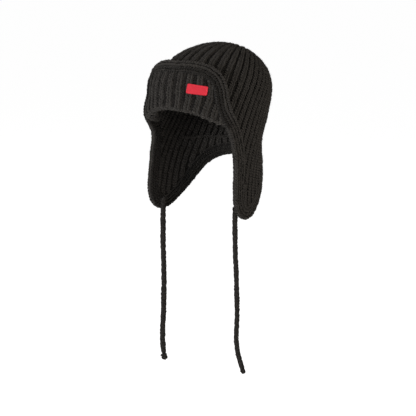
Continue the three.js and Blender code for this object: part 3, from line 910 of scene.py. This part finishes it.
def bandJoin(name, sign):
    turn = sign * turnOf(band["point"])
    use = np.flatnonzero((turn > join["turns"][0]) & (turn < join["turns"][1]))
    first = band["point"][use] + band["across"][use] * (hat["bandWidth"] / 2 - join["tuck"])
    beyond = band["point"][use] + band["across"][use] * (hat["bandWidth"] / 2 + join["reach"])
    skin = skinAt(turnOf(beyond), beyond[:, 2])
    second = skin - skinNormal(skin) * hat["wall"] / 2

    def place(u, v):
        i = np.rint(v * (len(use) - 1)).astype(int)
        return first[i] + (second[i] - first[i]) * u[:, None]

    return laidGrid(name, join["columns"], len(use) - 1, place)


def makeJoins():
    for side, sign in (("left", 1), ("right", -1)):
        name = f"band_join_{side}"
        # The join takes the darker yarn as painted shade
        strip = finishPiece(name, bandJoin(name, sign), [yarnShadedGround])
        solid = strip.modifiers.new("thickness", "SOLIDIFY")
        solid.thickness = join["thick"]
        solid.offset = 0
    print("joins made")


makeJoins()


# Polyester threads woven plain and close: a clean even red, with a faint grid and a slight gloss
def tapeMaterial():
    material, tree = newMaterial("woven polyester tape")
    uv = addNode(tree, "ShaderNodeUVMap", {"uv_map": "yarn"}).outputs["UV"]
    scale = label["height"] / label["thread"] * math.pi / 20  # one wave to two threads
    weft = addNode(tree, "ShaderNodeTexWave", {"bands_direction": "Y"}, {
        "Vector": uv, "Scale": scale, "Distortion": 0.3, "Detail": 1})
    warp = addNode(tree, "ShaderNodeTexWave", {"bands_direction": "X"}, {
        "Vector": uv, "Scale": scale * label["length"] / label["height"], "Distortion": 0.3})
    weave = addNode(tree, "ShaderNodeMath", {"operation": "MULTIPLY"}, {
        0: weft.outputs["Fac"], 1: warp.outputs["Fac"]})
    # The weave's hollows take the darker red as painted shade
    colour = addNode(tree, "ShaderNodeMix", {"data_type": "RGBA"}, {
        "Factor": weave.outputs[0], "A": linear(label["shade"]), "B": linear(label["colour"])})
    bump = addNode(tree, "ShaderNodeBump", None, {
        "Height": weave.outputs[0], "Strength": 0.3, "Distance": 0.1 * mm})
    shader = addNode(tree, "ShaderNodeBsdfPrincipled", None, {
        "Base Color": colour.outputs["Result"], "Roughness": 0.7, "IOR": 1.5, "Specular IOR Level": 0.3,
        "Sheen Weight": 0.05, "Normal": bump.outputs[0]})
    addNode(tree, "ShaderNodeOutputMaterial", None, {"Surface": shader.outputs[0]})
    return material


def makeLabel():
    corner = label["corner"]

    def place(u, v):
        beyond = np.maximum(0, np.abs(v - 0.5) * label["height"] - (label["height"] / 2 - corner))
        cut = corner - np.sqrt(np.maximum(0, corner ** 2 - beyond ** 2))
        u = 0.5 + (u - 0.5) * (1 - 2 * cut / label["length"])
        ends = np.minimum(u, 1 - u) * label["length"]
        hem = label["hemLift"] * (1 - smoothStep(ends, label["hem"] * 0.8, label["hem"] * 1.2))
        wave = label["ripple"] * np.sin(u * 17) * np.cos(v * 5)
        return labelPoint(u, v, label["lift"] + hem + wave)

    mesh = laidGrid("label_tape", label["columns"], label["rows"], place)
    tape = finishPiece("label_tape", mesh, [tapeMaterial()])
    solid = tape.modifiers.new("thickness", "SOLIDIFY")
    solid.thickness = label["thick"]
    solid.offset = -1
    rounded = tape.modifiers.new("edges", "BEVEL")
    rounded.width = label["edge"]
    rounded.segments = 2
    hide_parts("label")
    print("label made")


makeLabel()

# Plain floor below the ties, pale surroundings and soft lamps: place, size, power and colour
stage = {"floor": -0.6, "size": 200, "glow": 0.79, "ambient": 0.22}
lamps = {
    "key": ((-0.3, -2.0, 0.15), 0.8, 24, "#fbfcff"),
    "fill": ((1.9, -0.3, 0.3), 1.2, 11.5, "#fff5e9"),
    "rim": ((0.3, 1.9, 1.2), 1.4, 3, "#ffffff"),
}


def makeStage():
    bm = bmesh.new()
    bmesh.ops.create_grid(bm, x_segments=1, y_segments=1, size=stage["size"])
    mesh = bpy.data.meshes.new("floor")
    bm.to_mesh(mesh)
    bm.free()
    floor = bpy.data.objects.new("floor", mesh)
    floor.location.z = stage["floor"]
    material, tree = newMaterial("studio floor")
    seen = addNode(tree, "ShaderNodeLightPath").outputs["Is Camera Ray"]
    glow = addNode(tree, "ShaderNodeMath", {"operation": "MULTIPLY"}, {0: seen, 1: stage["glow"]})
    shader = addNode(tree, "ShaderNodeBsdfPrincipled", None, {
        "Base Color": linear("#f4f4f4"), "Roughness": 0.9, "IOR": 1.5, "Specular IOR Level": 0,
        "Emission Color": linear("#ffffff"), "Emission Strength": glow.outputs[0]})
    addNode(tree, "ShaderNodeOutputMaterial", None, {"Surface": shader.outputs[0]})
    mesh.materials.append(material)
    bpy.context.collection.objects.link(floor)
    world = bpy.data.worlds.new("studio")
    bpy.context.scene.world = world
    world.use_nodes = True
    seen = addNode(world.node_tree, "ShaderNodeLightPath").outputs["Is Camera Ray"]
    strength = addNode(world.node_tree, "ShaderNodeMapRange", None, {
        "Value": seen, "To Min": stage["ambient"]})
    background = world.node_tree.nodes["Background"]
    background.inputs["Color"].default_value = linear("#ffffff")
    world.node_tree.links.new(strength.outputs[0], background.inputs["Strength"])
    bpy.context.scene.view_settings.view_transform = "Standard"
    for name, (place, size, power, colour) in lamps.items():
        lamp = bpy.data.objects.new(name, bpy.data.lights.new(name, "AREA"))
        lamp.data.size = size
        lamp.data.energy = power
        lamp.data.color = linear(colour)[:3]
        lamp.location = place
        lamp.rotation_euler = (Vector(place) - Vector(view["aim"])).to_track_quat("Z", "Y").to_euler()
        bpy.context.collection.objects.link(lamp)
    print("stage made")


makeStage()
